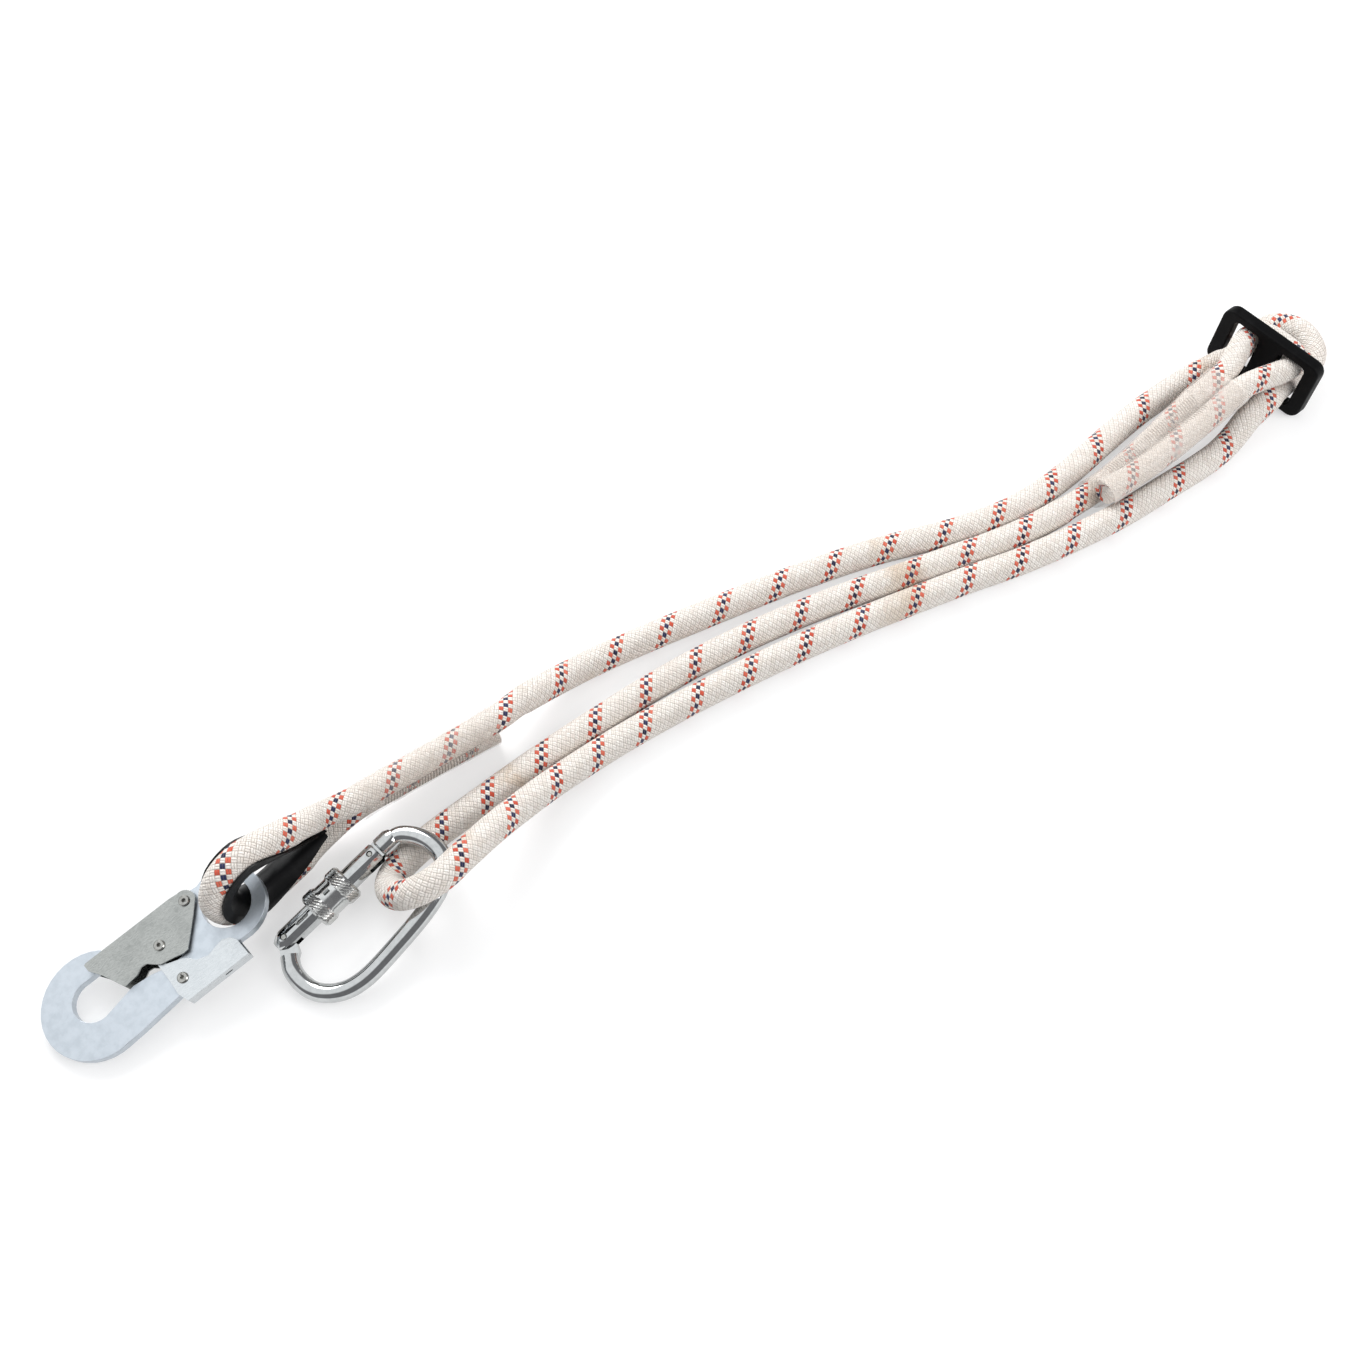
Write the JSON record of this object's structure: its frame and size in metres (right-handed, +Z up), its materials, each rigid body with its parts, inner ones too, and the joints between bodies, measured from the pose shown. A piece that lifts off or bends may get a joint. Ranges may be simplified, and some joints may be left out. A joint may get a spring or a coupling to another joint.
{
  "type": "tree climbing work-positioning lanyard",
  "caption": "Thick rope lanyard with a double-action snap hook on a thimbled eye, a two-window slider gripping the rope and a screw-gate carabiner in its bight.",
  "frame": {"origin": "middle of the rigid fittings' footprint (snap hook, carabiner, slider), on the surface that the lanyard lies on", "axes": "+X runs from the snap hook to the slider, +Y from the carabiner's side to the hook's side, +Z up"},
  "size_m": [0.8374, 0.1078, 0.0576],
  "materials": {
    "rope_weave": "woven, matte",
    "clear_sleeve": "clear, slightly milky",
    "thimble_plastic": "satin black",
    "slider_plastic": "satin black",
    "hook_steel": "zinc plated, satin",
    "gate_steel": "zinc plated, satin",
    "rivet_steel": "satin",
    "carabiner_steel": "bright plated",
    "sleeve_steel": "bright plated, knurled",
    "pin_steel": "satin"
  },
  "bodies": {
    "lanyard": {"rope_hook_eye": "rope_weave", "rope_upper_strand": "rope_weave", "rope_slider_bight": "rope_weave", "rope_lower_strand": "rope_weave", "rope_carabiner_bight": "rope_weave", "rope_middle_strand": "rope_weave", "rope_slider_eye": "rope_weave", "thimble": "thimble_plastic", "hook_splice_sleeve": "clear_sleeve", "slider_splice_sleeve": "clear_sleeve", "slider_frame": "slider_plastic"},
    "hook": {"hook_body": "hook_steel", "gate_rivet": "rivet_steel", "lever_rivet": "rivet_steel"},
    "hook_gate": {"hook_gate": "gate_steel", "lock_pin": "rivet_steel"},
    "lock_lever": {"lock_lever": "gate_steel"},
    "carabiner": {"carabiner_body": "carabiner_steel", "gate_hinge_pin": "pin_steel"},
    "carabiner_gate": {"carabiner_gate": "carabiner_steel", "gate_latch_pin": "pin_steel"},
    "screw_sleeve": {"screw_sleeve": "sleeve_steel"}
  },
  "joints": [
    {"name": "hook_swing", "type": "hinge", "parent": "lanyard", "child": "hook", "pos_m": [-0.2799, 0.0288, 0.0293], "axis": [-0.184, 0.9805, -0.0689], "range_deg": [-20, 75]},
    {"name": "hook_gate_hinge", "type": "hinge", "parent": "hook", "child": "hook_gate", "pos_m": [-0.31224, 0.03894, 0.01909], "axis": [-0.1587, -0.0461, 0.9863], "range_deg": [0, 21], "stiffness_Nm_per_rad": 0.15, "springref_deg": -34.38},
    {"name": "lock_lever_hinge", "type": "hinge", "parent": "hook", "child": "lock_lever", "pos_m": [-0.33118, 0.00536, 0.01448], "axis": [-0.1587, -0.0461, 0.9863], "range_deg": [0, 12], "stiffness_Nm_per_rad": 0.15, "springref_deg": -34.38},
    {"name": "carabiner_swing", "type": "hinge", "parent": "lanyard", "child": "carabiner", "pos_m": [-0.2016, -0.0114, 0.0202], "axis": [0.184, 0.9779, 0.0994], "range_deg": [-1.5, 4]},
    {"name": "carabiner_gate_hinge", "type": "hinge", "parent": "carabiner", "child": "carabiner_gate", "pos_m": [-0.28004, -0.00129, 0.00777], "axis": [0.1648, 0.069, -0.9839], "range_deg": [0, 25], "stiffness_Nm_per_rad": 0.15, "springref_deg": -34.38, "deforming": ["rope_carabiner_bight"]},
    {"name": "screw_sleeve_slide", "type": "slide", "parent": "carabiner_gate", "child": "screw_sleeve", "axis": [0.9688, 0.1761, 0.1746], "range_m": [-0.008, 0.008]}
  ]
}
